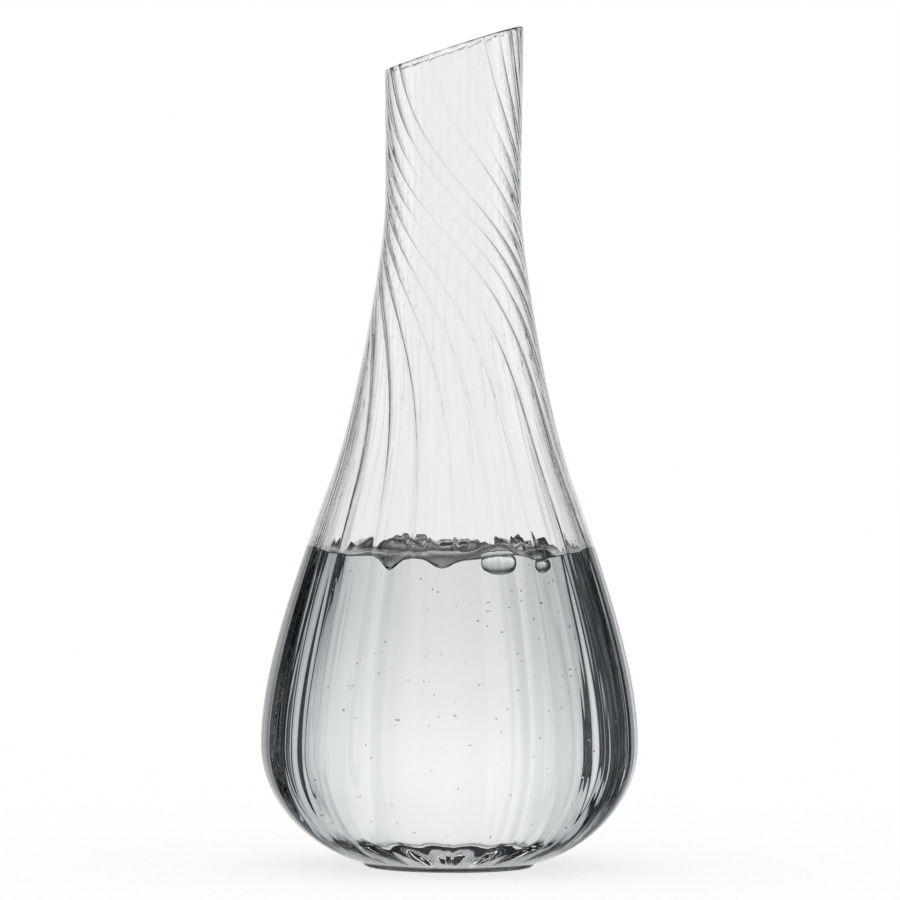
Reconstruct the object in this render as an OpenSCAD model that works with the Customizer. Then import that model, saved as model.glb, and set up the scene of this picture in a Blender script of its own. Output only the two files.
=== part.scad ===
// Water carafe of clear mouth-blown glass, half filled with water.
// The bubble of glass was blown into a ribbed optic mould, so the inner wall carries
// upright ribs. The neck was then drawn up and turned, which winds the ribs round it,
// and the mouth was cut on a slant and fire polished.

/* [Outline] */
// Height from the table to the high side of the mouth
carafe_h = 290; // [260:1:330]
// Greatest diameter, at the belly
belly_d = 130.4; // [116:0.2:150]
// Height of the belly's greatest diameter
belly_z = 42; // [36:0.5:50]
// Diameter where the body's curve turns over into the neck's
shoulder_d = 82.2; // [72:0.2:92]
// Height of that turning place
shoulder_z = 135; // [120:1:150]
// Lean of the wall there from the vertical, in degrees
shoulder_lean = 19.9; // [16:0.1:24]
// Diameter of the narrowest part of the neck
neck_d = 47; // [42:0.2:54]
// Height of the narrowest part of the neck
neck_z = 229; // [215:1:245]
// Diameter at the mouth
mouth_d = 47.8; // [44:0.2:56]
// Drop of the mouth from its high side to its low side
mouth_drop = 15.2; // [0:0.2:20]

/* [Foot] */
// Diameter of the foot
foot_d = 59.4; // [52:0.2:66]
// Height of the foot's rounded edge
foot_edge = 1.35; // [0.8:0.05:2]
// Rise of the outline as it leaves the foot, in degrees
foot_lean = 13.6; // [8:0.1:20]
// Width of the flat ring that the carafe stands on
ring_w = 3.7; // [2.5:0.1:10]
// Depth of the hollow under the foot
punt_h = 4.1; // [1:0.1:5]

/* [Wall] */
// Thickness of the glass at the belly
body_wall = 2; // [1.4:0.1:2.6]
// Thickness of the glass at the neck
neck_wall = 2.3; // [1.4:0.1:2.8]
// Thickness of the glass where the bowl leaves the foot
low_wall = 2.9; // [2:0.1:4]
// Height of the inner floor above the table
floor_z = 12.4; // [9:0.1:15]
// Softness of the bend between the inner floor and the side
floor_bend = 3.4; // [1:0.1:6]

/* [Ribs] */
// Number of optic ribs
rib_count = 20; // [12:2:24]
// Height of a rib at the belly
body_rib = 0.7; // [0.3:0.1:1.2]
// Height of a rib in the neck
neck_rib = 0.5; // [0.2:0.1:0.9]
// Whole turn of the ribs from the body to the mouth, in degrees
twist_turn = 204; // [0:0.5:270]
// Height where the ribs wind fastest
twist_z = 227; // [200:1:250]
// Height over which the winding fades out, up and down
twist_h = 43; // [30:1:60]
// Bearing of the ribs at that height, in degrees
twist_start = 8.2; // [0:0.1:18]

/* [Water] */
// Level of the water in the middle
water_z = 109.8; // [70:0.2:125]
// How much higher it stands at the back
back_rise = 1.2; // [0:0.1:4]
// How much lower it stands at the front glass
front_drop = 3; // [0:0.1:6]
// Distance from the front glass over which it falls
front_reach = 4.5; // [3:0.1:8]
// Height of the tallest ripple
ripple_h = 5; // [0:0.1:7]
// Rise of the water where it wets the glass
wet_h = 1.2; // [0:0.1:2]
// Distance over which that rise fades out
wet_w = 2.2; // [1.5:0.1:4]
// Clearance between the water and the glass
water_gap = 0.12; // [0.1:0.01:0.3]
// Width of the large bubble at the front
big_bubble_w = 10.8; // [6:0.2:12]
// Width of the small bubble beside it
small_bubble_w = 5.4; // [3:0.2:7]

/* [Hidden] */
// Overrun of a cut past the face that it opens
overrun = 2;
// Columns of facets to each rib, steps of facets along the wall and along a radius
rib_cols = 4;
bowl_steps = 11;
body_steps = 9;
neck_steps = 20;
mouth_steps = 12;
surface_steps = 18;
edge_steps = 4;
bubble_cols = 24;
bubble_steps = 10;

belly_r = belly_d / 2;
shoulder_r = shoulder_d / 2;
neck_r = neck_d / 2;
mouth_r = mouth_d / 2;
foot_r = foot_d / 2;
ring_r = foot_r - foot_edge;
punt_r = ring_r - ring_w;
mouth_lean = atan(mouth_drop / mouth_d);
cols = rib_count * rib_cols;

// How far each end of a curve pulls it straight on, as a share of the curve's height or width
foot_pull_share = 0.59;
bowl_pull_share = 0.45;
belly_pull_share = 0.215;
shoulder_pull_share = 0.568;
neck_start_share = 0.239;
neck_end_share = 0.175;
mouth_pull_share = 0.5;

// How the glass thins from the foot up to the belly, as a power of the way along the bowl
low_wall_power = 1.57;
// How late along the inner floor's outline it is brought onto the belly, as a power
join_power = 6;

// Radius, as a share of the belly's, inside which the ribs fade out over the floor
rib_fade_share = 0.45;

// Ripples on the water: place across and front to back as shares of the belly's radius,
// spread as a share of the same, and height as a share of the tallest
ripple_shares = [
    [-0.31, -0.62, 0.04, -0.5],
    [-0.04, -0.7, 0.06, -0.45],
    [0.44, -0.55, 0.04, -0.2],
    [-0.27, -0.09, 0.04, 0.8],
    [-0.19, -0.17, 0.04, 0.9],
    [-0.1, -0.12, 0.04, 0.75],
    [-0.15, 0.03, 0.06, 0.45],
    [-0.39, -0.12, 0.05, 0.5],
    [-0.54, -0.06, 0.04, 0.55],
    [0.1, -0.15, 0.05, 0.7],
    [0.2, -0.21, 0.05, 0.55],
    [0.15, 0.21, 0.08, 0.35],
    [0.32, -0.09, 0.04, 1],
    [0.38, -0.15, 0.04, 0.9],
    [0.45, -0.05, 0.04, 0.6],
    [0.56, -0.02, 0.05, 0.4],
    [-0.31, 0.34, 0.09, 0.25],
    [0, 0.46, 0.09, -0.25],
    [0.26, -0.54, 0.08, 0.7],
    [0.48, -0.41, 0.05, 0.3]
];

// Where the front's fall begins, as a share of the belly's radius, and how sharply
front_place_share = 0.3;
front_sharpness = 14;

// Bubbles that press on the front glass: bearing in degrees, way out from the axis and height
// of the middle as shares of the water's edge, and depth and height as shares of the width
big_bubble_shares = [-65, 0.86, 0.955, 0.44, 0.74];
small_bubble_shares = [-41, 0.88, 0.945, 0.67, 0.96];

function lerp(a, b, t) = a + (b - a) * t;
function tanh(u) = (exp(2 * u) - 1) / (exp(2 * u) + 1);

function bezier(p, t) =
    pow(1 - t, 3) * p[0] + 3 * pow(1 - t, 2) * t * p[1] + 3 * (1 - t) * t * t * p[2] + pow(t, 3) * p[3];

// The points of a curve, without its last one
function run(p, steps) = [for (i = [0 : steps - 1]) bezier(p, i / steps)];

// Curves of the outline, each as its two ends and the two points that pull it
body_span = shoulder_z - belly_z;
neck_span = neck_z - shoulder_z;
mouth_span = carafe_h - neck_z;
shoulder_way = [-sin(shoulder_lean), cos(shoulder_lean)];
shoulder = [shoulder_r, shoulder_z];
foot = [foot_r, foot_edge];

bowl_curve = [
    foot,
    foot + foot_pull_share * (belly_r - foot_r) * [cos(foot_lean), sin(foot_lean)],
    [belly_r, belly_z - bowl_pull_share * (belly_z - foot_edge)],
    [belly_r, belly_z]
];
body_curve = [
    [belly_r, belly_z],
    [belly_r, belly_z + belly_pull_share * body_span],
    shoulder - shoulder_pull_share * body_span * shoulder_way,
    shoulder
];
neck_curve = [
    shoulder,
    shoulder + neck_start_share * neck_span * shoulder_way,
    [neck_r, neck_z - neck_end_share * neck_span],
    [neck_r, neck_z]
];
mouth_curve = [
    [neck_r, neck_z],
    [neck_r, neck_z + mouth_pull_share * mouth_span],
    [mouth_r, carafe_h - mouth_pull_share * mouth_span],
    [mouth_r, carafe_h]
];

// The same curve moved in by a wall that changes evenly along it
function inset(p, wall_a, wall_b) = [for (i = [0 : 3]) p[i] - [lerp(wall_a, wall_b, i / 3), 0]];

mid_wall = lerp(body_wall, neck_wall, 0.5);

// The bowl moved in by a wall that thickens toward the foot
function bezier_way(p, t) =
    let (way = (1 - t) * (1 - t) * (p[1] - p[0]) + 2 * (1 - t) * t * (p[2] - p[1]) + t * t * (p[3] - p[2]))
    way / norm(way);
bowl_inside = [
    for (i = [0 : 4 * bowl_steps])
    let (t = i / (4 * bowl_steps))
    let (way = bezier_way(bowl_curve, t))
    let (wall = lerp(body_wall, low_wall, pow(1 - t, low_wall_power)))
    bezier(bowl_curve, t) + wall * [-way[1], way[0]]
];
floor_slope = (bowl_inside[1][1] - bowl_inside[0][1]) / (bowl_inside[1][0] - bowl_inside[0][0]);
function side_level(r) =
    r < bowl_inside[0][0]
    ? bowl_inside[0][1] + (r - bowl_inside[0][0]) * floor_slope
    : lookup(r, bowl_inside);

// From the middle of the inner floor up to the belly: the floor bends softly into the side
function floor_level(r) =
    let (gap = side_level(r) - floor_z)
    floor_z + (gap + norm([gap, floor_bend])) / 2;
function floor_point(share) =
    let (r = (belly_r - body_wall) * sin(90 * share))
    let (miss = belly_z - floor_level(belly_r - body_wall))
    [r, floor_level(r) + miss * pow(share, join_power)];
function floor_points() = [for (i = [0 : bowl_steps - 1]) floor_point(i / bowl_steps)];
function body_points() = run(inset(body_curve, body_wall, mid_wall), body_steps);
function neck_points() = run(inset(neck_curve, mid_wall, neck_wall), neck_steps);
function mouth_points() = run(inset(mouth_curve, neck_wall, neck_wall), mouth_steps);

// Bearing of a rib at a height, as the neck's twist leaves it
function bearing(z) = twist_start - twist_turn / 2 * tanh((z - twist_z) / twist_h);

// Height of a rib on a wall of radius r at height z, fading out over the floor
function rib_height(r, z) =
    lerp(body_rib, neck_rib, max(0, min(1, (z - belly_z) / (neck_z - belly_z))))
    * min(1, r / (rib_fade_share * belly_r));

// A point of the ribbed wall: round grooves between ribs that come to an edge
function wall_point(col, r, z, gap) =
    let (turn = 360 * col / cols)
    let (rib = rib_height(r, z) * (1 - abs(sin(rib_count * turn / 2))))
    let (reach = r - rib - gap)
    [reach * cos(turn + bearing(z)), reach * sin(turn + bearing(z)), z];

function ring(p, gap) = [for (col = [0 : cols - 1]) wall_point(col, p[0], p[1], gap)];

// Two triangles for each cell between ring k and ring k + 1, where point 0 is the pole below
function band(k, n) = [
    for (col = [0 : n - 1])
    let (next = (col + 1) % n)
    let (a = 1 + k * n + col)
    let (b = 1 + k * n + next)
    for (cell = [[a, a + n, b], [b, a + n, b + n]]) cell
];
function pole_fan(n) = [for (col = [0 : n - 1]) [0, 1 + col, 1 + (col + 1) % n]];
function cap_fan(k, n, tip) = [
    for (col = [0 : n - 1]) [tip, 1 + k * n + (col + 1) % n, 1 + k * n + col]
];

// A closed solid from a bottom point, a stack of rings and a top point
module stack(bottom, rings, top) {
    count = len(rings);
    n = len(rings[0]);
    points = concat([bottom], [for (r = rings) each r], [top]);
    tip = len(points) - 1;
    faces = concat(
        pole_fan(n),
        [for (k = [0 : count - 2]) each band(k, n)],
        cap_fan(count - 1, n, tip)
    );
    polyhedron(points = points, faces = faces, convexity = 10);
}

// Outline of the solid glass before it is hollowed: hollow under the foot, foot, body and neck
function punt_points() = [
    for (i = [0 : edge_steps - 1]) [punt_r * i / edge_steps, punt_h * cos(90 * i / edge_steps)]
];
function edge_points() = [
    for (i = [0 : edge_steps - 1])
    [ring_r + foot_edge * sin(90 * i / edge_steps), foot_edge * (1 - cos(90 * i / edge_steps))]
];

module blown_shape() {
    rotate_extrude($fn = 96)
        polygon(concat(
            punt_points(),
            [[punt_r, 0]],
            edge_points(),
            run(bowl_curve, bowl_steps),
            run(body_curve, body_steps),
            run(neck_curve, neck_steps / 2),
            run(mouth_curve, mouth_steps / 3),
            [[mouth_r, carafe_h], [mouth_r, carafe_h + overrun], [0, carafe_h + overrun]]
        ));
}

// Ribbed hollow, open past the mouth
module hollow() {
    profile = concat(floor_points(), body_points(), neck_points(), mouth_points());
    above = [mouth_r - neck_wall, carafe_h + 2 * overrun];
    rings = [for (i = [1 : len(profile) - 1]) ring(profile[i], 0)];
    stack([0, 0, profile[0][1]], concat(rings, [ring(above, 0)]), [0, 0, above[1]]);
}

// Everything above the slanted mouth
module mouth_cut() {
    size = 2 * mouth_d;
    translate([mouth_r, 0, carafe_h])
        rotate([0, -mouth_lean, 0])
            translate([-1.5 * size, -size, 0])
                cube([2 * size, 2 * size, size]);
}

module glass_vessel() {
    color([0.9, 0.95, 0.95, 0.4])
        difference() {
            blown_shape();
            hollow();
            mouth_cut();
        }
}

// Height of the water at a place, before it climbs the glass
function ripple(x, y, s) =
    let (d = norm([x - s[0] * belly_r, y - s[1] * belly_r]) / (s[2] * belly_r))
    ripple_h * s[3] * exp(-d * d / 2);
function front(y) = 1 / (1 + exp((y / belly_r + front_place_share) * front_sharpness));
function water_height(x, y) =
    let (gap = max(0, edge_r - norm([x, y])))
    water_z + back_rise * max(0, y / belly_r) - front_drop * front(y) * exp(-gap / front_reach)
    + sum([for (s = ripple_shares) ripple(x, y, s)]);
function sum(v) = [for (i = 0, t = 0; i <= len(v); t = t + (i < len(v) ? v[i] : 0), i = i + 1) t][len(v)];

// Where a height lies along the inner body curve, found by halving
inner_body = inset(body_curve, body_wall, mid_wall);
function along(z, low = 0, high = 1, left = 20) =
    let (mid = (low + high) / 2)
    left == 0 ? mid
    : bezier(inner_body, mid)[1] < z ? along(z, mid, high, left - 1)
    : along(z, low, mid, left - 1);
function wall_radius(z) = bezier(inner_body, along(z))[0];

// Where the water meets the wall in each column
edge_r = wall_radius(water_z);
function edge_height(col) =
    let (p = wall_point(col, edge_r, water_z, water_gap))
    water_height(p[0], p[1]) + wet_h;

module water_body() {
    low = [for (p = floor_points()) ring([p[0], p[1]], water_gap)];
    under = [for (i = [1 : len(low) - 1]) low[i]];
    side = [
        for (k = [0 : body_steps - 1])
        [
            for (col = [0 : cols - 1])
            let (z = lerp(belly_z, edge_height(col), k / body_steps))
            wall_point(col, wall_radius(z), z, water_gap)
        ]
    ];
    surface = [
        for (k = [0 : surface_steps - 1])
        let (share = 1 - k / surface_steps)
        [
            for (col = [0 : cols - 1])
            let (z = edge_height(col))
            let (p = wall_point(col, wall_radius(z), z, water_gap))
            let (x = share * p[0])
            let (y = share * p[1])
            let (wet = wet_h * exp((share - 1) * edge_r / wet_w))
            [x, y, k == 0 ? z : water_height(x, y) + wet]
        ]
    ];
    stack([0, 0, low[0][0][2] + water_gap], concat(under, side, surface), [0, 0, water_height(0, 0)]);
}

// A bubble just under the surface, flattened where it presses on the front glass
module bubble(w, shares) {
    function at(rise, side) = w / 2 * [
        shares[3] * sin(rise) * cos(side), sin(rise) * sin(side), -shares[4] * cos(rise)
    ];
    rings = [
        for (i = [1 : bubble_steps - 1])
        [for (col = [0 : bubble_cols - 1]) at(180 * i / bubble_steps, 360 * col / bubble_cols)]
    ];
    rotate([0, 0, shares[0]])
        translate([shares[1] * edge_r, 0, shares[2] * water_z])
            stack(at(0, 0), rings, at(180, 0));
}

module water() {
    color([0.75, 0.88, 0.92, 0.6])
        difference() {
            water_body();
            bubble(big_bubble_w, big_bubble_shares);
            bubble(small_bubble_w, small_bubble_shares);
        }
}

glass_vessel();
water();
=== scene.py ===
import math

import bmesh
import bpy
import numpy as np
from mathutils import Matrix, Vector, noise


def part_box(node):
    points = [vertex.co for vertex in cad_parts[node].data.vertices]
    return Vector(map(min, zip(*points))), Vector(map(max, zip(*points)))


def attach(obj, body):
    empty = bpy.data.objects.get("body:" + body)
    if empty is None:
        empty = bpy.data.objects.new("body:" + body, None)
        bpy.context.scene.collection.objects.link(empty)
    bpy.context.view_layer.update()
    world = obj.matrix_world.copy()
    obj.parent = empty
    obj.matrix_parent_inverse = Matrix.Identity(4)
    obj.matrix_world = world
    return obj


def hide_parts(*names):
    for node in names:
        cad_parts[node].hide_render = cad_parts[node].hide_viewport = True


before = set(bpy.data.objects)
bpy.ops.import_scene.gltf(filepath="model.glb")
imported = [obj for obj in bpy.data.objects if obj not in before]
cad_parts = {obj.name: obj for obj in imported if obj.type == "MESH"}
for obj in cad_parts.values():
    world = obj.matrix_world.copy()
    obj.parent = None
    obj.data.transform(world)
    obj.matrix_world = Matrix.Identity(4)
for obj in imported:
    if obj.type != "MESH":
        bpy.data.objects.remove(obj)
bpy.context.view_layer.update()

# The glass vessel: body, neck, slanted mouth and foot are one piece of clear glass, blown into
# a ribbed mould, so ribs stand on its inner wall with shallow flutes between them outside. The
# neck was drawn up and turned, which winds them, and the mouth cut on a slant and fire polished.

glass_low, glass_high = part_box("glass_vessel")
carafe_height = glass_high[2]
belly_radius = min(glass_high[0], glass_high[1], -glass_low[0], -glass_low[1])
belly_level = 0.042
shoulder_radius = 0.0411
shoulder_level = 0.135
shoulder_lean = math.radians(19.9)
neck_radius = 0.0235
neck_level = 0.229
mouth_radius = 0.0239
mouth_drop = 0.0152
foot_radius = 0.0297
foot_edge = 0.00135
foot_lean = math.radians(13.6)
ring_width = 0.0037
punt_depth = 0.0041
body_wall = 0.0020
neck_wall = 0.0023
lip_rise = 0.0009
floor_level = 0.0124
floor_bend = 0.0034
low_wall = 0.0029
low_wall_fade = 1.57
# How far the curves of the outline are pulled along their ends, as shares of what they span
foot_pull = 0.59
bowl_pull = 0.45
belly_pull = 0.215
shoulder_pull_down = 0.568
shoulder_pull_up = 0.239
neck_pull = 0.175
mouth_pull = 0.5
# How late the floor's outline is brought onto the belly's inner wall, as a power
floor_join = 6
# Points along the bowl that the floor's outline follows, and where a radius is looked up: along
# the neck and along every other curve
side_points = 160
neck_points = 90
curve_points = 60

rib_count = 20
steps_per_rib = 16
columns = rib_count * steps_per_rib
rib_crowding = 0.5
crest_crowding = 0.38
twist_turn = math.radians(204)
twist_level = 0.227
twist_reach = 0.043
twist_start = math.radians(8.2)
# How far the ribs stray from even spacing, in how many waves round, and where those start
spacing_drift = math.radians(0.9)
spacing_waves = 3
spacing_start = 1.2
# Levels up the vessel, and at each the height of the ribs where they are rounded and where
# they are cusped, of the soft crest that all of them have and of the sharp one that some
# have, and the depth of the flutes outside. Over the floor the ribs are grooves.
rib_levels = (0.0, 0.042, 0.096, 0.112, 0.160, 0.229, 0.290)
rib_heights = (-0.00120, 0.00070, 0.00064, 0.00036, 0.0, 0.0, 0.0)
cusp_heights = (0.0, 0.0, 0.0, 0.0, 0.00046, 0.00038, 0.00036)
soft_heights = (0.0, 0.00003, 0.00010, 0.00026, 0.00024, 0.00011, 0.00007)
sharp_heights = (0.0, 0.0, 0.0, 0.00002, 0.0, 0.00006, 0.00007)
flute_depths = (0.00048, 0.00048, 0.00042, 0.00018, 0.00018, 0.00020, 0.00022)
rib_spread = 0.19
soft_spread = 0.032
sharp_spread = 0.012
flute_spread = 0.15
flute_place = 0.44
rib_fade_radius = 0.45 * belly_radius
rib_fade_power = 1.5
flute_fade_reach = 0.012


def curve(start, pull_start, pull_end, end, steps):
    """Points along a cubic curve, without its last one."""
    t = (np.arange(steps) / steps)[:, None]
    start, pull_start, pull_end, end = (np.array(p) for p in (start, pull_start, pull_end, end))
    return (
        (1 - t) ** 3 * start
        + 3 * (1 - t) ** 2 * t * pull_start
        + 3 * (1 - t) * t * t * pull_end
        + t ** 3 * end
    )


def body_outline(wall_low, wall_high, steps):
    """From the belly up to the shoulder, moved in by the wall."""
    span = shoulder_level - belly_level
    lean = np.array([-math.sin(shoulder_lean), math.cos(shoulder_lean)])
    shoulder = np.array([shoulder_radius, shoulder_level])
    points = [
        np.array([belly_radius, belly_level]),
        np.array([belly_radius, belly_level + belly_pull * span]),
        shoulder - shoulder_pull_down * span * lean,
        shoulder,
    ]
    walls = np.linspace(wall_low, wall_high, 4)
    return curve(*[p - [w, 0] for p, w in zip(points, walls)], steps)


def neck_outline(wall_low, wall_high, steps):
    """From the shoulder up to the narrowest part of the neck."""
    span = neck_level - shoulder_level
    lean = np.array([-math.sin(shoulder_lean), math.cos(shoulder_lean)])
    shoulder = np.array([shoulder_radius, shoulder_level])
    points = [
        shoulder,
        shoulder + shoulder_pull_up * span * lean,
        np.array([neck_radius, neck_level - neck_pull * span]),
        np.array([neck_radius, neck_level]),
    ]
    walls = np.linspace(wall_low, wall_high, 4)
    return curve(*[p - [w, 0] for p, w in zip(points, walls)], steps)


def mouth_outline(wall, steps):
    """From the narrowest part of the neck up to the high side of the mouth."""
    pull = mouth_pull * (carafe_height - neck_level)
    return curve(
        [neck_radius - wall, neck_level],
        [neck_radius - wall, neck_level + pull],
        [mouth_radius - wall, carafe_height - pull],
        [mouth_radius - wall, carafe_height],
        steps,
    )


def bowl_outline(steps):
    """From the foot up to the belly."""
    reach = foot_pull * (belly_radius - foot_radius)
    return curve(
        [foot_radius, foot_edge],
        [foot_radius + reach * math.cos(foot_lean), foot_edge + reach * math.sin(foot_lean)],
        [belly_radius, belly_level - bowl_pull * (belly_level - foot_edge)],
        [belly_radius, belly_level],
        steps,
    )


def floor_outline(steps):
    """From the middle of the inner floor up to the belly's inner wall: the bowl moved in by
    a wall that thickens toward the foot, which runs into a level floor with a soft bend."""
    bowl = np.concatenate([bowl_outline(side_points), [[belly_radius, belly_level]]])
    along = np.gradient(bowl, axis=0)
    inward = np.stack([-along[:, 1], along[:, 0]], 1) / np.linalg.norm(along, axis=1)[:, None]
    thicker = np.linspace(1, 0, len(bowl)) ** low_wall_fade
    wall = body_wall + (low_wall - body_wall) * thicker
    side = bowl + inward * wall[:, None]
    radius = side[-1, 0] * np.sin(np.linspace(0, math.pi / 2, steps + 1))
    slope = (side[1, 1] - side[0, 1]) / (side[1, 0] - side[0, 0])
    level = np.interp(radius, side[:, 0], side[:, 1])
    level = np.where(radius < side[0, 0], side[0, 1] + (radius - side[0, 0]) * slope, level)
    gap = level - floor_level
    level = floor_level + (gap + np.hypot(gap, floor_bend)) / 2
    share = np.linspace(0, 1, steps + 1) ** floor_join
    level = level + (belly_level - level[-1]) * share
    return np.stack([radius, level], 1)[:-1]


def bearing(level):
    """How far the twist has turned the ribs at a level."""
    return twist_start - twist_turn / 2 * np.tanh((level - twist_level) / twist_reach)


outer = np.concatenate([
    bowl_outline(curve_points),
    body_outline(0, 0, curve_points),
    neck_outline(0, 0, neck_points),
    mouth_outline(0, curve_points),
    [[mouth_radius, carafe_height]],
])
middle_wall = (body_wall + neck_wall) / 2
inner = np.concatenate([
    body_outline(body_wall, middle_wall, curve_points),
    neck_outline(middle_wall, neck_wall, neck_points),
    mouth_outline(neck_wall, curve_points),
    [[mouth_radius - neck_wall, carafe_height]],
])


def outer_radius(level):
    """Radius of the outside at a level above the foot, its flutes aside."""
    return np.interp(level, outer[:, 1], outer[:, 0])


def inner_radius(level):
    """Radius of the inner wall at a level above the belly, its ribs aside."""
    return np.interp(level, inner[:, 1], inner[:, 0])


# Hand work leaves no two ribs alike: each has its own height, some have a sharp crest on
# the soft one, and they stand a little off even spacing
hand = np.random.default_rng(20)
rib_gain = hand.uniform(0.6, 1.4, rib_count)
soft_gain = hand.uniform(0.6, 1.1, rib_count)
flute_gain = hand.uniform(0.5, 1.5, rib_count)
sharp_ribs = [1, 3, 6, 8, 11, 13, 16, 18]
sharp_gain = np.zeros(rib_count)
sharp_gain[sharp_ribs] = 1
step = np.arange(columns) / steps_per_rib
phase = step - rib_crowding * np.sin(2 * math.pi * step) / (2 * math.pi)
phase = phase - crest_crowding * np.sin(4 * math.pi * step) / (4 * math.pi)
column_bearing = phase * 2 * math.pi / rib_count
stray = spacing_drift * np.sin(spacing_waves * column_bearing + spacing_start)
column_bearing = column_bearing + stray


def ridge(place, spread, gain):
    """A rounded ridge at one place in the pitch of each rib, as high as that rib's gain."""
    gap = phase - place
    nearest = np.round(gap)
    return gain[nearest.astype(int) % rib_count] * np.exp(-(((gap - nearest) / spread) ** 2) / 2)


nearest_rib = np.round(phase).astype(int) % rib_count
rib_layers = [
    (rib_heights, ridge(0, rib_spread, rib_gain)),
    (cusp_heights, rib_gain[nearest_rib] * (1 - np.abs(np.sin(math.pi * phase)))),
    (soft_heights, ridge(0, soft_spread, soft_gain)),
    (sharp_heights, ridge(0, sharp_spread, sharp_gain)),
]
flute_shape = ridge(flute_place, flute_spread, flute_gain)


def inner_relief(radius, level):
    """How far the ribs stand in from the inner wall, which fades out over the floor."""
    height = sum(np.interp(level, rib_levels, heights) * shape for heights, shape in rib_layers)
    return height * np.clip(radius / rib_fade_radius, 0, 1) ** rib_fade_power


def outer_relief(radius, level):
    """How deep the flutes are outside, which fade out toward the foot."""
    depth = np.interp(level, rib_levels, flute_depths)
    return depth * flute_shape * np.clip((radius - foot_radius) / flute_fade_reach, 0, 1)


def wall_ring(radius, level, relief):
    """One point for each column, on a wall that the relief moves in."""
    level = np.broadcast_to(level, (columns,))
    reach = radius - relief
    angle = column_bearing + bearing(level)
    return np.stack([reach * np.cos(angle), reach * np.sin(angle), level], 1)


def inner_ring(radius, level, gap=0.0):
    """A ring of the ribbed inner wall, or one that lies a gap inside it."""
    return wall_ring(radius - gap, level, inner_relief(radius, level))


def outer_ring(radius, level):
    """A ring of the fluted outside."""
    return wall_ring(radius, level, outer_relief(radius, level))


# Level of the mouth's crest in each column, where the slanted cut meets the turned ribs
slant = mouth_drop / (2 * mouth_radius)
crest_tries = 30
crest = np.full(columns, carafe_height)
for _ in range(crest_tries):
    across = mouth_radius * np.cos(column_bearing + bearing(crest))
    crest = carafe_height + (across - mouth_radius) * slant
# The fire that polished it left the lip a little uneven. Its round edge is this many times as
# deep as the lip's rise, and waves round it change that: how many, how much and from where.
lip_depth = 1.1
lip_waves = [(7, 0.30, 1), (23, 0.45, 0)]
lip_swell = sum(size * np.sin(count * column_bearing + start) for count, size, start in lip_waves)
lip_level = crest - lip_rise * (lip_depth + lip_swell)

# The water's surface, a moment of its slosh. It stands lower at the front glass, with three
# notches there, and behind them are the crests and the splash that the pouring left. The
# glass comes next and needs its edge, because glass bends light less where water wets it.

water_level = 0.1098
back_rise = 0.0012
front_drop = 0.0037
front_reach = 0.0065
wet_rise = 0.0024
wet_reach = 0.0016
# Where front turns into back, in belly radii from the axis, and how sharply: for the drop at
# the front glass, for the climb up the glass and for the calm of the back
front_turn = -0.30
front_sharpness = 14
climb_turn = -0.2
climb_sharpness = 12
calm_turn = 0.1
calm_sharpness = 10
calm_share = 0.6
# Notches at the front glass: place across, spread across, depth and reach inward
notches = [
    (-0.0203, 0.0022, 0.0030, 0.0065),
    (-0.0025, 0.0034, 0.0027, 0.0065),
    (0.0290, 0.0020, 0.0012, 0.0040),
]
# Crests and dips: place across and front to back, spread, and height
swells = [
    (-0.0130, -0.0050, 0.0050, 0.0050),
    (-0.0195, -0.0120, 0.0034, 0.0026),
    (-0.0060, -0.0120, 0.0034, 0.0026),
    (0.0026, 0.0020, 0.0040, 0.0020),
    (-0.0255, -0.0080, 0.0030, 0.0026),
    (-0.0352, -0.0040, 0.0028, 0.0028),
    (0.0068, -0.0100, 0.0032, 0.0026),
    (0.0130, -0.0140, 0.0036, 0.0024),
    (0.0110, 0.0180, 0.0050, 0.0024),
    (-0.0080, 0.0260, 0.0050, 0.0020),
    (0.0040, 0.0300, 0.0034, 0.0014),
    (0.0210, -0.0060, 0.0022, 0.0050),
    (0.0250, -0.0100, 0.0024, 0.0044),
    (0.0290, -0.0030, 0.0024, 0.0030),
    (0.0362, -0.0010, 0.0034, 0.0020),
    (-0.0200, 0.0220, 0.0060, 0.0012),
    (-0.0120, -0.0220, 0.0030, -0.0016),
    (0.0020, -0.0200, 0.0040, -0.0016),
    (0.0160, -0.0040, 0.0022, -0.0014),
]
# The film that each big bubble lifts as it comes up
domes = [(0.0158, -0.0350, 0.0052, 0.0034), (0.0305, -0.0270, 0.0032, 0.0016)]
# The small waves everywhere: height, length and how fast the finer ones in them fade
chop_height = 0.0007
chop_length = 0.013
chop_fade = 1.3
# Where the splash breaks the crests up, how far round there, and the same of its waves
spray_places = [(0.0225, -0.0080), (-0.0130, -0.0060)]
spray_spread = 0.0060
spray_height = 0.0018
spray_length = 0.0034
spray_fade = 1.0
# How much finer the next waves are, and how many sizes there are
finer_by = 2.1
wave_sizes = 2


def front_part(y, most, turn, sharpness):
    """From most at the front to nothing at the back. A negative sharpness turns it round."""
    return most / (1 + np.exp((y / belly_radius - turn) * sharpness))


def heap(x, y, across, along, spread):
    """A round heap at a place, one high."""
    return np.exp(-((x - across) ** 2 + (y - along) ** 2) / (2 * spread ** 2))


def small_waves(x, y, length, fade):
    """Uneven waves of about a length, to either side of nothing."""
    places = [Vector((a, b, 0)) for a, b in zip(x, y)]
    return np.array([noise.fractal(p / length, fade, finer_by, wave_sizes) for p in places])


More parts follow.
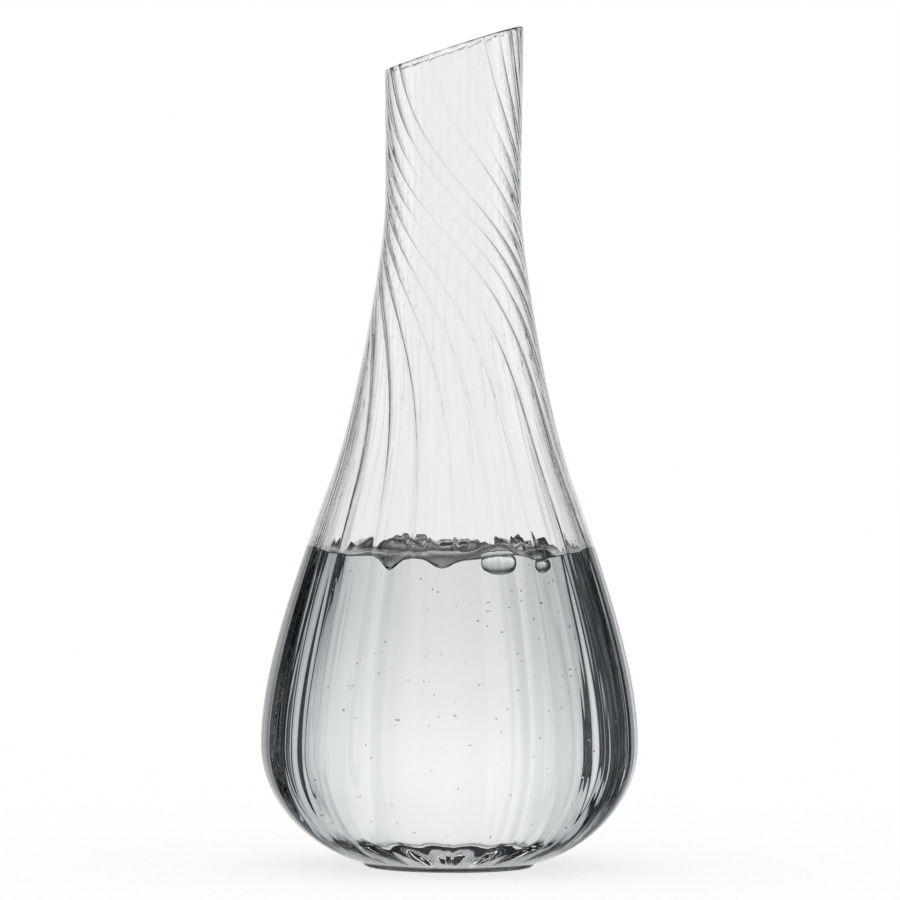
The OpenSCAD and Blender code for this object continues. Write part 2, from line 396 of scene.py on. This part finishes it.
def water_height(x, y):
    """Level of the water at a place, before it climbs the glass."""
    gap = np.clip(inner_radius(water_level) - np.hypot(x, y), 0, None)
    front = front_part(y, 1, front_turn, front_sharpness)
    level = water_level + back_rise * np.clip(y / belly_radius, 0, 1)
    level = level - front_drop * front * np.exp(-gap / front_reach)
    for across, spread, depth, reach in notches:
        level = level - front * depth * np.exp(-(((x - across) / spread) ** 2) / 2 - gap / reach)
    for across, along, spread, height in swells + domes:
        level = level + height * heap(x, y, across, along, spread)
    chop = small_waves(x, y, chop_length, chop_fade)
    spray = small_waves(x, y, spray_length, spray_fade)
    near = sum(heap(x, y, across, along, spray_spread) for across, along in spray_places)
    lively = 1 - front_part(y, calm_share, calm_turn, -calm_sharpness)
    return level + chop_height * lively * chop + spray_height * spray * near


def wet_climb(y):
    """How far the water climbs the glass, most of it at the front."""
    return front_part(y, wet_rise, climb_turn, climb_sharpness)


# Level of the water's edge in each column, where its surface meets the ribbed wall
edge_tries = 8
edge_level = np.full(columns, water_level)
for _ in range(edge_tries):
    edge = inner_ring(inner_radius(edge_level), edge_level)
    wet_level = water_height(edge[:, 0], edge[:, 1]) + wet_climb(edge[:, 1])
    edge_level = 0.5 * edge_level + 0.5 * wet_level


def wet_rows(steps, gap):
    """Rows of the inner wall from the water's edge down to the belly."""
    rows = []
    for k in range(steps):
        level = edge_level + (belly_level - edge_level) * k / steps
        rows.append(inner_ring(inner_radius(level), level, gap))
    return rows


def floor_rows(steps, gap):
    """Rows of the inner wall from the belly down to the last one round the floor's middle."""
    outline = floor_outline(steps)
    along = np.gradient(outline, axis=0)
    along = along / np.linalg.norm(along, axis=1)[:, None]
    rows = []
    for (radius, level), (out, up) in list(zip(outline, along))[:0:-1]:
        moved = inner_relief(radius, level) + gap
        rows.append(wall_ring(radius, level + moved * out, moved * up))
    return rows


punt_round = 0.8
punt_steps = 7
ring_shares = (0.08, 0.5, 0.94)
foot_edge_steps = 6


def foot_rows():
    """Rows under the foot: the hollow, from the first one round its middle, the ring that the
    carafe stands on, and the round edge outside it."""
    ring_radius = foot_radius - foot_edge
    inside = ring_radius - ring_width
    turn = np.linspace(0, math.pi / 2, punt_steps + 1)[1:]
    rows = [[inside * math.sin(t) ** punt_round, punt_depth * math.cos(t)] for t in turn]
    rows += [[inside + ring_width * share, 0] for share in ring_shares]
    for t in np.linspace(0, math.pi / 2, foot_edge_steps + 1)[:-1]:
        rows.append([ring_radius + foot_edge * math.sin(t), foot_edge * (1 - math.cos(t))])
    return [wall_ring(radius, level, 0) for radius, level in rows]


def new_object(name, data):
    """A new object in the scene, with this mesh or camera."""
    thing = bpy.data.objects.new(name, data)
    bpy.context.scene.collection.objects.link(thing)
    return thing


def closed_skin(name, first, rows, last, materials, starts):
    """A closed mesh from a pole, a stack of rings and a pole. A ring may have some times as
    many points as the one before. Each material starts at a ring and goes on to the next
    one's start."""
    points = np.concatenate([[first], *rows, [last]])
    tip = len(points) - 1
    faces = []
    slots = []
    low = 1
    for k, row in enumerate(rows):
        slot = sum(start <= k for start in starts) - 1
        slots += [slot] * len(row)
        high = low + len(row)
        if k == len(rows) - 1:
            faces += [[low + n, low + (n + 1) % len(row), tip] for n in range(len(row))]
            break
        above = len(rows[k + 1])
        finer = above // len(row)
        for n in range(len(row)):
            back = [high + m % above for m in range((n + 1) * finer, n * finer - 1, -1)]
            faces.append([low + n, low + (n + 1) % len(row), *back])
        low = high
    around = len(rows[0])
    faces += [[0, 1 + (n + 1) % around, 1 + n] for n in range(around)]
    slots += [0] * around
    mesh = bpy.data.meshes.new(name)
    mesh.from_pydata(points.tolist(), [], faces)
    for material in materials:
        mesh.materials.append(material)
    mesh.polygons.foreach_set("material_index", slots)
    mesh.polygons.foreach_set("use_smooth", [True] * len(faces))
    return new_object(name, mesh)


# The glass, row by row: under the foot, up the outside, over the lip and down the inside
bowl_steps = 18
body_steps = 18
neck_steps = 42
mouth_steps = 30
lip_steps = 8
dry_steps = 52
wet_steps = 12
floor_steps = 26
rows = foot_rows()
outside = [bowl_outline(bowl_steps), body_outline(0, 0, body_steps), neck_outline(0, 0, neck_steps)]
for radius, level in np.concatenate(outside):
    rows.append(outer_ring(radius, level))
# Rows crowd toward the lip, so that its round edge shades no more than itself
mouth_shares = 1 - (1 - np.linspace(0, 1, mouth_steps + 1)) ** 2
for share in mouth_shares[:-1]:
    level = neck_level + (lip_level - neck_level) * share
    rows.append(outer_ring(outer_radius(level), level))
lip_outside = outer_radius(lip_level) - outer_relief(mouth_radius, lip_level)
lip_inside = inner_radius(lip_level) - inner_relief(mouth_radius, lip_level)
lip_top_round = 0.7
lip_side_round = 0.8
for turn in np.linspace(0, math.pi, lip_steps + 1):
    level = lip_level + (crest - lip_level) * math.sin(turn) ** lip_top_round
    angle = column_bearing + bearing(level)
    share = (1 - math.copysign(abs(math.cos(turn)) ** lip_side_round, math.cos(turn))) / 2
    reach = lip_outside + (lip_inside - lip_outside) * share
    rows.append(np.stack([reach * np.cos(angle), reach * np.sin(angle), level], 1))
inside_from = len(rows)
for share in mouth_shares[-2:0:-1]:
    level = neck_level + (lip_level - neck_level) * share
    rows.append(inner_ring(inner_radius(level), level))
for k in range(dry_steps):
    level = neck_level + (edge_level - neck_level) * k / dry_steps
    rows.append(inner_ring(inner_radius(level), level))
wet_from = len(rows)
rows += wet_rows(wet_steps, 0)
rows += floor_rows(floor_steps, 0)


def add_node(tree, kind, **values):
    """A new node in a tree, with its own settings."""
    node = tree.nodes.new(kind)
    for name, value in values.items():
        setattr(node, name, value)
    return node


def join(tree, *pairs):
    """Link each output to its input."""
    for out, into in pairs:
        tree.links.new(out, into)


def work_out(tree, operation, *values, clamp=False):
    """The result of a sum in a tree, on outputs of nodes or plain numbers."""
    node = add_node(tree, "ShaderNodeMath", operation=operation, use_clamp=clamp)
    for socket, value in zip(node.inputs, values):
        if isinstance(value, (int, float)):
            socket.default_value = value
        else:
            tree.links.new(value, socket)
    return node.outputs[0]


# Fine lines that blowing and drawing leave in the glass. They run up the body, wind round
# the neck with the ribs and fade there, and are so shallow that they show only in what
# they bend.
draw_lines = bpy.data.node_groups.new("draw_lines", "ShaderNodeTree")
draw_inputs = {
    "Depth": 0.0006,
    "Lines round": 9.0,
    "Changes up": 1.4,
    "Level part": 0.42,
    "Place": 0.0,
}
for name, value in draw_inputs.items():
    draw_lines.interface.new_socket(
        name, in_out="INPUT", socket_type="NodeSocketFloat"
    ).default_value = value
draw_lines.interface.new_socket("Normal", in_out="OUTPUT", socket_type="NodeSocketVector")


def draw_sum(operation, *values):
    """The result of a sum in the group of drawn lines."""
    return work_out(draw_lines, operation, *values)


draw_given = add_node(draw_lines, "NodeGroupInput")
spot = add_node(draw_lines, "ShaderNodeTexCoord")
spot_parts = add_node(draw_lines, "ShaderNodeSeparateXYZ")
join(draw_lines, (spot.outputs["Object"], spot_parts.inputs[0]))
spot_x, spot_y, spot_z = spot_parts.outputs
climb_share = draw_sum("DIVIDE", draw_sum("SUBTRACT", spot_z, twist_level), twist_reach)
wound = draw_sum("MULTIPLY", draw_sum("TANH", climb_share), twist_turn / 2)
side_angle = draw_sum("ADD", draw_sum("ARCTAN2", spot_y, spot_x), wound)
lines_round = draw_given.outputs["Lines round"]
line_spot = add_node(draw_lines, "ShaderNodeCombineXYZ")
join(
    draw_lines,
    (draw_sum("MULTIPLY", draw_sum("COSINE", side_angle), lines_round), line_spot.inputs["X"]),
    (draw_sum("MULTIPLY", draw_sum("SINE", side_angle), lines_round), line_spot.inputs["Y"]),
    (draw_sum("MULTIPLY", spot_z, draw_given.outputs["Changes up"]), line_spot.inputs["Z"]),
)
lines = add_node(draw_lines, "ShaderNodeTexNoise", noise_dimensions="4D")
lines.inputs["Scale"].default_value = 1
lines.inputs["Detail"].default_value = 1
lines.inputs["Roughness"].default_value = 0.5
square_x = draw_sum("MULTIPLY", spot_x, spot_x)
square_y = draw_sum("MULTIPLY", spot_y, spot_y)
off_axis = draw_sum("SQRT", draw_sum("ADD", square_x, square_y))
wide = draw_sum("POWER", draw_sum("DIVIDE", off_axis, belly_radius), 2)
relief = add_node(draw_lines, "ShaderNodeBump")
relief.inputs["Strength"].default_value = 1
result = add_node(draw_lines, "NodeGroupOutput")
standing = draw_sum("MAXIMUM", lines.outputs["Fac"], draw_given.outputs["Level part"])
join(
    draw_lines,
    (line_spot.outputs[0], lines.inputs["Vector"]),
    (draw_given.outputs["Place"], lines.inputs["W"]),
    (draw_sum("MULTIPLY", standing, wide), relief.inputs["Height"]),
    (draw_given.outputs["Depth"], relief.inputs["Distance"]),
    (relief.outputs["Normal"], result.inputs["Normal"]),
)


def clear_material(name, tint, bend):
    """A polished clear solid that passes light and bends it."""
    material = bpy.data.materials.new(name)
    material.use_nodes = True
    skin = material.node_tree.nodes["Principled BSDF"]
    skin.inputs["Base Color"].default_value = (*tint, 1)
    skin.inputs["Metallic"].default_value = 0
    skin.inputs["Roughness"].default_value = 0
    skin.inputs["IOR"].default_value = bend
    skin.inputs["Transmission Weight"].default_value = 1
    return material


def drawn_glass(name, bend, place, depth):
    """Clear glass with the drawn lines of one of its walls."""
    material = clear_material(name, glass_tint, bend)
    tree = material.node_tree
    lines = add_node(tree, "ShaderNodeGroup", node_tree=draw_lines)
    lines.inputs["Place"].default_value = place
    lines.inputs["Depth"].default_value = depth
    join(tree, (lines.outputs["Normal"], tree.nodes["Principled BSDF"].inputs["Normal"]))
    return material


glass_bend = 1.5
water_bend = 1.333
glass_tint = (0.997, 1.0, 1.0)
# Each wall has its own lines: where in the noise they lie, and how deep they are
outside_place = 0
outside_depth = 0.0010
inside_place = 4
inside_depth = 0.0006
outside_glass = drawn_glass("outside_glass", glass_bend, outside_place, outside_depth)
inside_glass = drawn_glass("inside_glass", glass_bend, inside_place, inside_depth)
wet_glass = drawn_glass("wet_glass", glass_bend / water_bend, inside_place, inside_depth)

floor_middle = floor_outline(floor_steps)[0, 1]
vessel = closed_skin(
    "blown_glass", (0, 0, punt_depth), rows, (0, 0, floor_middle),
    [outside_glass, inside_glass, wet_glass], [0, inside_from, wet_from],
)
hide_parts("glass_vessel")
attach(vessel, "root")

# The water: a litre of clear water that fills the body to its middle. Its skin against
# the glass bends nothing, because the wet glass already does, and its top is the surface.

skin_gap = 0.00003
surface_steps = 70
surface_crowding = 1.2
surface_finer = 3
water_rows = (wet_rows(wet_steps, skin_gap) + floor_rows(floor_steps, skin_gap))[::-1]
surface_from = len(water_rows) - 1
# The surface has some times as many points round as the wall, from the edge's own points
rim = water_rows[-1]
way = np.roll(rim, -1, axis=0) - rim
rim = np.stack([rim + way * n / surface_finer for n in range(surface_finer)], 1).reshape(-1, 3)
rim_radius = np.hypot(rim[:, 0], rim[:, 1])
for k in range(1, surface_steps):
    share = 1 - (k / surface_steps) ** surface_crowding
    x = rim[:, 0] * share
    y = rim[:, 1] * share
    climb = wet_climb(rim[:, 1]) * np.exp(-(1 - share) * rim_radius / wet_reach)
    water_rows.append(np.stack([x, y, water_height(x, y) + climb], 1))
middle_level = water_height(np.zeros(1), np.zeros(1))[0]

water_tint = (0.985, 0.993, 0.993)
open_water = clear_material("open_water", water_tint, water_bend)
held_water = clear_material("held_water", water_tint, 1)

water = closed_skin(
    "poured_water", (0, 0, floor_middle + skin_gap), water_rows, (0, 0, middle_level),
    [held_water, open_water], [0, surface_from],
)

# The bubbles that the pouring carried down. They are hollows in the water: two big ones
# that press on the front glass just under the surface, and a scatter of tiny ones.


def hollow(middle, half_widths, turn, steps, rings):
    """Points and faces of a bubble's inside, facing into the bubble."""
    points = []
    for k in range(rings + 1):
        rise = math.pi * k / rings
        for n in range(steps):
            side = 2 * math.pi * n / steps
            x = half_widths[0] * math.sin(rise) * math.cos(side)
            y = half_widths[1] * math.sin(rise) * math.sin(side)
            z = half_widths[2] * math.cos(rise)
            points.append((
                middle[0] + x * math.cos(turn) - y * math.sin(turn),
                middle[1] + x * math.sin(turn) + y * math.cos(turn),
                middle[2] + z,
            ))
    faces = []
    for k in range(rings):
        for n in range(steps):
            a = k * steps + n
            b = k * steps + (n + 1) % steps
            faces.append((a, b, b + steps, a + steps))
    return points, faces


bubble_steps = 48
bubble_rings = 24
same_place = 1e-7
# Middle, half widths and how far each is turned to lie along the glass
big_bubbles = [
    ((0.0156, -0.0364, 0.1056), (0.0060, 0.0024, 0.0043), math.radians(23)),
    ((0.0288, -0.0284, 0.1042), (0.0029, 0.0019, 0.0027), math.radians(45)),
]
skin = bmesh.new()
skin.from_mesh(water.data)
for middle, half_widths, turn in big_bubbles:
    points, faces = hollow(middle, half_widths, turn, bubble_steps, bubble_rings)
    corners = [skin.verts.new(p) for p in points]
    for face in faces:
        patch = skin.faces.new([corners[n] for n in face])
        patch.material_index = 1
        patch.smooth = True
    bmesh.ops.remove_doubles(skin, verts=corners, dist=same_place)
skin.to_mesh(water.data)
skin.free()

tiny_count = 260
tiny_small = 0.00011
tiny_large = 0.00042
tiny_low = 0.012
tiny_high = 0.1035
tiny_seed = 7
# The bearings that they keep to, which are those of the front half
tiny_from = math.radians(-173)
tiny_round = math.radians(166)
# How far out they reach, as a share of the way to the wall
tiny_reach = 0.965
# Powers under 1 crowd them to the right, up or toward the wall, and over 1 keep most small
tiny_rightward = 0.7
tiny_upward = 0.7
tiny_outward = 0.35
tiny_smallness = 2.2

tree = bpy.data.node_groups.new("tiny_bubbles", "GeometryNodeTree")
tree.is_modifier = True
tree.interface.new_socket("Water", in_out="INPUT", socket_type="NodeSocketGeometry")
tree.interface.new_socket("Water", in_out="OUTPUT", socket_type="NodeSocketGeometry")
tree_values = {
    "Count": ("NodeSocketInt", tiny_count),
    "Smallest": ("NodeSocketFloat", tiny_small),
    "Largest": ("NodeSocketFloat", tiny_large),
    "Lowest": ("NodeSocketFloat", tiny_low),
    "Highest": ("NodeSocketFloat", tiny_high),
    "Seed": ("NodeSocketInt", tiny_seed),
}
for name, (kind, value) in tree_values.items():
    tree.interface.new_socket(name, in_out="INPUT", socket_type=kind).default_value = value


def random_share(offset, power):
    """A random number from 0 to 1 for each bubble, raised to a power."""
    share = add_node(tree, "FunctionNodeRandomValue", data_type="FLOAT")
    join(tree, (work_out(tree, "ADD", given.outputs["Seed"], offset), share.inputs["Seed"]))
    return work_out(tree, "POWER", share.outputs[1], power)


given = add_node(tree, "NodeGroupInput")
points = add_node(tree, "GeometryNodePoints")
# Where a bubble is: a bearing and a level, and from the axis most of the way to the wall.
# More of them are high up, and more stand on the right, where the pouring went in.
side = work_out(tree, "MULTIPLY_ADD", random_share(1, tiny_rightward), tiny_round, tiny_from)
level = add_node(tree, "ShaderNodeMapRange")
toward = add_node(tree, "ShaderNodeCombineXYZ")
axis_point = add_node(tree, "ShaderNodeCombineXYZ")
wall = add_node(tree, "GeometryNodeRaycast")
join(
    tree,
    (random_share(2, tiny_upward), level.inputs["Value"]),
    (given.outputs["Lowest"], level.inputs["To Min"]),
    (given.outputs["Highest"], level.inputs["To Max"]),
    (work_out(tree, "COSINE", side), toward.inputs["X"]),
    (work_out(tree, "SINE", side), toward.inputs["Y"]),
    (level.outputs["Result"], axis_point.inputs["Z"]),
    (given.outputs["Water"], wall.inputs["Target Geometry"]),
    (axis_point.outputs[0], wall.inputs["Source Position"]),
    (toward.outputs[0], wall.inputs["Ray Direction"]),
)
out_share = work_out(tree, "MULTIPLY", random_share(3, tiny_outward), tiny_reach)
reach = work_out(tree, "MULTIPLY", wall.outputs["Hit Distance"], out_share)
away = add_node(tree, "ShaderNodeVectorMath", operation="SCALE")
place = add_node(tree, "ShaderNodeVectorMath", operation="ADD")
ball = add_node(tree, "GeometryNodeMeshIcoSphere")
ball.inputs["Radius"].default_value = 1
ball.inputs["Subdivisions"].default_value = 2
size = add_node(tree, "ShaderNodeMapRange")
scatter = add_node(tree, "GeometryNodeInstanceOnPoints")
join(
    tree,
    (toward.outputs[0], away.inputs[0]),
    (reach, away.inputs["Scale"]),
    (axis_point.outputs[0], place.inputs[0]),
    (away.outputs[0], place.inputs[1]),
    (given.outputs["Count"], points.inputs["Count"]),
    (place.outputs[0], points.inputs["Position"]),
    (random_share(4, tiny_smallness), size.inputs["Value"]),
    (given.outputs["Smallest"], size.inputs["To Min"]),
    (given.outputs["Largest"], size.inputs["To Max"]),
    (points.outputs[0], scatter.inputs["Points"]),
    (ball.outputs["Mesh"], scatter.inputs["Instance"]),
    (size.outputs["Result"], scatter.inputs["Scale"]),
)
# The balls become real faces that face inward, smooth, with the water's open surface
real = add_node(tree, "GeometryNodeRealizeInstances")
turned = add_node(tree, "GeometryNodeFlipFaces")
rounded = add_node(tree, "GeometryNodeSetShadeSmooth")
skinned = add_node(tree, "GeometryNodeSetMaterial")
skinned.inputs["Material"].default_value = open_water
together = add_node(tree, "GeometryNodeJoinGeometry")
result = add_node(tree, "NodeGroupOutput")
chain = [scatter, real, turned, rounded, skinned, together, result]
for before, after in zip(chain, chain[1:]):
    join(tree, (before.outputs[0], after.inputs[0]))
join(tree, (given.outputs["Water"], together.inputs[0]))

scattered = water.modifiers.new("tiny_bubbles", "NODES")
scattered.node_group = tree
for socket in tree.interface.items_tree:
    if socket.in_out == "INPUT" and socket.name in tree_values:
        scattered[socket.identifier] = tree_values[socket.name][1]
bpy.context.view_layer.update()
finished = water.evaluated_get(bpy.context.evaluated_depsgraph_get())
full = bpy.data.meshes.new_from_object(finished)
full.name = "poured_water"
water.modifiers.clear()
plain = water.data
water.data = full
bpy.data.meshes.remove(plain)
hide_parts("water")
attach(water, "root")

# The camera stands a little over two metres off with a long lens, somewhat above the
# middle of the carafe, and is rolled a hair.

eye = Vector((0, -2.209, 0.194))
aim = Vector((-0.0005, 0, 0.1438))
roll = math.radians(0.4)
camera_data = bpy.data.cameras.new("camera")
camera_data.sensor_width = 36
camera_data.lens = 256
camera_data.clip_end = 50
camera = new_object("camera", camera_data)
camera.matrix_world = (aim - eye).to_track_quat("-Z", "Y").to_matrix().to_4x4()
camera.location = eye
camera.rotation_euler.rotate_axis("Z", roll)
bpy.context.scene.camera = camera
bpy.context.view_layer.update()

# The studio: a white floor and a white room for the camera, and a curved screen behind
# the carafe that only glass sees, bright in the middle, with dark bands to both sides,
# above and below. What glass sees anywhere else is a dark room.


def plain_ray(tree):
    """1 for what the camera sees bare and for what lights the floor, 0 for what glass sees."""
    rays = add_node(tree, "ShaderNodeLightPath").outputs
    bent = work_out(tree, "MAXIMUM", rays["Is Glossy Ray"], rays["Is Transmission Ray"])
    lights_floor = work_out(tree, "GREATER_THAN", rays["Diffuse Depth"], 0.5)
    glass_sees = work_out(tree, "SUBTRACT", bent, lights_floor, clamp=True)
    return work_out(tree, "SUBTRACT", 1, glass_sees, clamp=True)


dark_room = 0.015
world = bpy.data.worlds.new("room")
bpy.context.scene.world = world
world.use_nodes = True
room = world.node_tree.nodes["Background"]
room.inputs["Color"].default_value = (1, 1, 1, 1)
room_level = add_node(world.node_tree, "ShaderNodeMapRange")
room_level.inputs["To Min"].default_value = dark_room
join(
    world.node_tree,
    (plain_ray(world.node_tree), room_level.inputs["Value"]),
    (room_level.outputs["Result"], room.inputs["Strength"]),
)

floor_size = 8
floor_mesh = bpy.data.meshes.new("floor")
half = floor_size / 2
floor_mesh.from_pydata(
    [(-half, -half, 0), (half, -half, 0), (half, half, 0), (-half, half, 0)], [], [(0, 1, 2, 3)]
)
floor = new_object("floor", floor_mesh)
floor_paint = bpy.data.materials.new("floor_paint")
floor_paint.use_nodes = True
paint = floor_paint.node_tree.nodes["Principled BSDF"]
# The camera sees the floor as white: part of it is paint that takes the carafe's shadow,
# and the rest is a glow
floor_white = 0.36
paint.inputs["Base Color"].default_value = (floor_white, floor_white, floor_white, 1)
paint.inputs["Roughness"].default_value = 0.9
paint.inputs["Specular IOR Level"].default_value = 0
paint.inputs["Emission Color"].default_value = (1, 1, 1, 1)
rays = add_node(floor_paint.node_tree, "ShaderNodeLightPath")
glow = work_out(floor_paint.node_tree, "MULTIPLY", rays.outputs["Is Camera Ray"], 1 - floor_white)
join(floor_paint.node_tree, (glow, paint.inputs["Emission Strength"]))
floor_mesh.materials.append(floor_paint)
floor.visible_transmission = False
floor.visible_glossy = False

screen_radius = 4
screen_low = -15
screen_high = 7
screen_turn = math.radians(110)
screen_steps = 96
screen_middle = 0.13
screen_points = []
for k in range(screen_steps + 1):
    turn = -screen_turn + 2 * screen_turn * k / screen_steps
    x = screen_radius * math.sin(turn)
    y = screen_radius * math.cos(turn)
    screen_points += [(x, y, screen_low), (x, y, screen_high)]
screen_mesh = bpy.data.meshes.new("screen")
screen_mesh.from_pydata(
    screen_points, [], [(2 * k, 2 * k + 2, 2 * k + 3, 2 * k + 1) for k in range(screen_steps)]
)
screen = new_object("screen", screen_mesh)
screen_cloth = bpy.data.materials.new("screen_cloth")
screen_cloth.use_nodes = True
screen_cloth.node_tree.nodes.remove(screen_cloth.node_tree.nodes["Principled BSDF"])
# Degrees off the middle and brightness there, first sideways and then up the screen, and
# the degrees that each ramp runs between
side_range = (0, 110)
rise_range = (-75, 60)
side_shades = [
    (0, (1.0, 1.0, 1.0)),
    (8, (0.97, 0.97, 0.97)),
    (13, (0.90, 0.905, 0.905)),
    (16, (0.80, 0.815, 0.82)),
    (18.5, (0.80, 0.81, 0.815)),
    (20, (0.68, 0.695, 0.70)),
    (22.5, (0.74, 0.755, 0.76)),
    (25, (0.58, 0.60, 0.61)),
    (27.5, (0.68, 0.70, 0.71)),
    (30, (0.50, 0.53, 0.54)),
    (33.5, (0.54, 0.58, 0.59)),
    (34.8, (0.02, 0.025, 0.03)),
    (40.5, (0.015, 0.02, 0.025)),
    (42, (0.17, 0.19, 0.20)),
    (43.5, (0.02, 0.025, 0.03)),
    (46, (0.02, 0.025, 0.03)),
    (47.5, (0.24, 0.26, 0.27)),
    (49.5, (0.03, 0.035, 0.04)),
    (54, (0.04, 0.045, 0.05)),
    (64, (0.42, 0.45, 0.46)),
    (100, (0.6, 0.6, 0.6)),
]
rise_shades = [
    (-75, (0.40, 0.40, 0.41)),
    (-60, (0.25, 0.25, 0.26)),
    (-53, (0.04, 0.04, 0.045)),
    (-46, (0.08, 0.085, 0.09)),
    (-40, (0.18, 0.185, 0.19)),
    (-35, (0.34, 0.345, 0.35)),
    (-30, (0.50, 0.51, 0.52)),
    (-15, (0.78, 0.785, 0.79)),
    (-12, (0.855, 0.86, 0.86)),
    (-8, (0.925, 0.93, 0.93)),
    (-4, (0.98, 0.98, 0.98)),
    (1, (1.0, 1.0, 1.0)),
    (6, (0.99, 0.99, 0.99)),
    (10, (0.965, 0.965, 0.965)),
    (14, (0.95, 0.95, 0.95)),
    (20, (0.93, 0.935, 0.94)),
    (24, (0.58, 0.59, 0.60)),
    (32, (0.48, 0.49, 0.50)),
    (33.4, (0.02, 0.025, 0.03)),
    (60, (0.015, 0.016, 0.018)),
]


def shade_ramp(tree, angle, span, shades):
    """A colour for an angle, from a list of degrees and colours."""
    low, high = span
    share = add_node(tree, "ShaderNodeMapRange")
    share.inputs["From Min"].default_value = math.radians(low)
    share.inputs["From Max"].default_value = math.radians(high)
    ramp = add_node(tree, "ShaderNodeValToRGB")
    while len(ramp.color_ramp.elements) < len(shades):
        ramp.color_ramp.elements.new(1)
    for stop, (degrees, colour) in zip(ramp.color_ramp.elements, shades):
        stop.position = (degrees - low) / (high - low)
        stop.color = (*colour, 1)
    join(tree, (angle, share.inputs["Value"]), (share.outputs["Result"], ramp.inputs["Fac"]))
    return ramp.outputs["Color"]


tree = screen_cloth.node_tree
place = add_node(tree, "ShaderNodeTexCoord")
parts = add_node(tree, "ShaderNodeSeparateXYZ")
join(tree, (place.outputs["Object"], parts.inputs[0]))
side = work_out(tree, "ARCTAN2", parts.outputs["X"], parts.outputs["Y"])
off_middle = work_out(tree, "ABSOLUTE", side)
height = work_out(tree, "SUBTRACT", parts.outputs["Z"], screen_middle)
rise = work_out(tree, "ARCTAN2", height, screen_radius)
# A mix of colours takes them in its inputs 6 and 7 and gives the mixed one in its output 2
shade = add_node(tree, "ShaderNodeMix", data_type="RGBA", blend_type="MULTIPLY")
shade.inputs["Factor"].default_value = 1
white_or_shade = add_node(tree, "ShaderNodeMix", data_type="RGBA")
white_or_shade.inputs[7].default_value = (1, 1, 1, 1)
lamp = add_node(tree, "ShaderNodeEmission")
join(
    tree,
    (shade_ramp(tree, off_middle, side_range, side_shades), shade.inputs[6]),
    (shade_ramp(tree, rise, rise_range, rise_shades), shade.inputs[7]),
    (plain_ray(tree), white_or_shade.inputs["Factor"]),
    (shade.outputs[2], white_or_shade.inputs[6]),
    (white_or_shade.outputs[2], lamp.inputs["Color"]),
    (lamp.outputs["Emission"], tree.nodes["Material Output"].inputs["Surface"]),
)
screen_mesh.materials.append(screen_cloth)
screen.visible_camera = False
screen.visible_diffuse = False
screen.visible_shadow = False
screen.parent = camera
screen.matrix_parent_inverse = camera.matrix_world.inverted()

bpy.context.scene.view_settings.view_transform = "Standard"
# Light crosses four walls and the water, and turns back many times inside the foot
through_bounces = 24
mirror_bounces = 12
bpy.context.scene.cycles.max_bounces = through_bounces
bpy.context.scene.cycles.transmission_bounces = through_bounces
bpy.context.scene.cycles.transparent_max_bounces = through_bounces
bpy.context.scene.cycles.glossy_bounces = mirror_bounces
